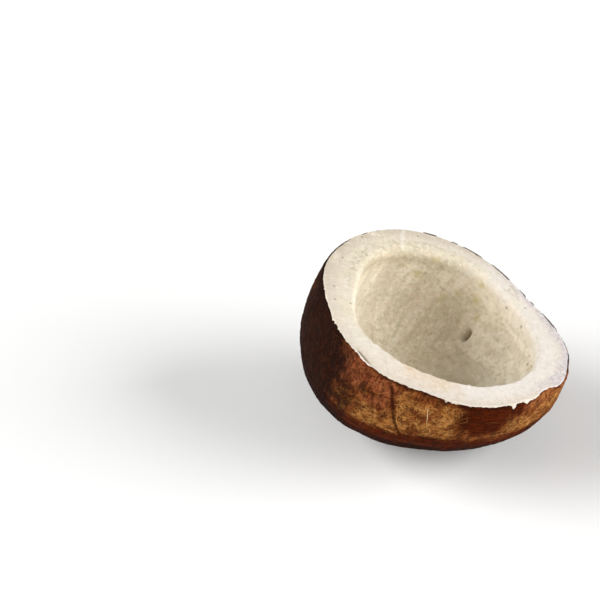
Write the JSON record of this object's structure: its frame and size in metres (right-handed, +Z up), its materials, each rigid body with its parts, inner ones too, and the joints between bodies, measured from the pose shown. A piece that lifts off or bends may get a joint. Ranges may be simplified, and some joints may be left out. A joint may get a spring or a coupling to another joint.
{
  "type": "coconut half",
  "caption": "Half of a ripe coconut kernel, cut across: a deep cup of white flesh with a thin brown skin, lying on its rounded side with its cut face leaning over.",
  "frame": {"origin": "on the surface that the half lies on, under the middle of its box", "axes": "+Z up; the cut face leans 17 degrees from level, towards +X and a little towards -Y"},
  "size_m": [0.0988, 0.0985, 0.0642],
  "materials": {
    "flesh": "moist, waxy and fine-grained",
    "skin": "rough and fibrous"
  },
  "bodies": {
    "root": {"coconut_half": "flesh"}
  },
  "joints": []
}
